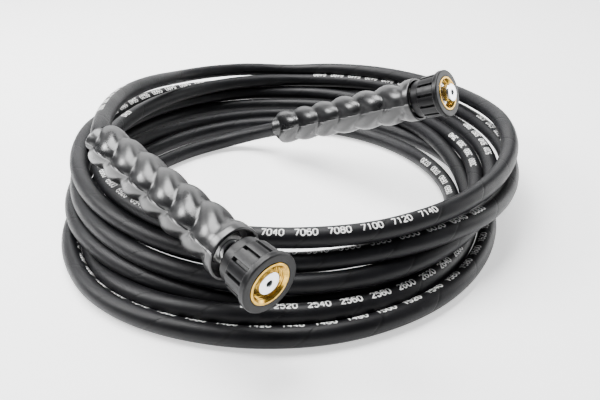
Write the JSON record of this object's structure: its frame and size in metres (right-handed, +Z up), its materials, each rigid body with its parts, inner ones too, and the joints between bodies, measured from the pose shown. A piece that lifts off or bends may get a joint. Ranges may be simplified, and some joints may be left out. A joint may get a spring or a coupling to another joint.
{
  "type": "pressure washer hose",
  "caption": "Coiled black high-pressure wash hose with a ribbed swivel hand nut, brass thread and moulded bend protector at each end.",
  "frame": {"origin": "middle of the bounding box on the floor", "axes": "+Z up from the floor; +Y from the front of the coil, where one fitting points out, to the back; +X to the right"},
  "size_m": [0.3873, 0.4656, 0.1114],
  "materials": {
    "hose": "satin",
    "grip": "gloss",
    "nut": "satin",
    "brass": "polished",
    "nipple": "polished",
    "ferrule": "satin"
  },
  "bodies": {
    "hose": {"hose_coil": "hose", "near_hose_end": "hose", "far_hose_end": "hose", "near_grip": "grip", "far_grip": "grip", "near_ferrule": "ferrule", "far_ferrule": "ferrule", "near_nipple": "nipple", "far_nipple": "nipple"},
    "near_nut": {"near_nut": "nut", "near_thread_insert": "brass"},
    "far_nut": {"far_nut": "nut", "far_thread_insert": "brass"}
  },
  "joints": [
    {"name": "near_nut_swivel", "type": "hinge", "parent": "hose", "child": "near_nut", "pos_m": [-0.0085, -0.2209, 0.0578], "axis": [0.6639, -0.7364, -0.1301], "continuous": true},
    {"name": "far_nut_swivel", "type": "hinge", "parent": "hose", "child": "far_nut", "pos_m": [0.1218, -0.019, 0.0947], "axis": [0.7491, -0.5451, 0.3765], "continuous": true}
  ]
}
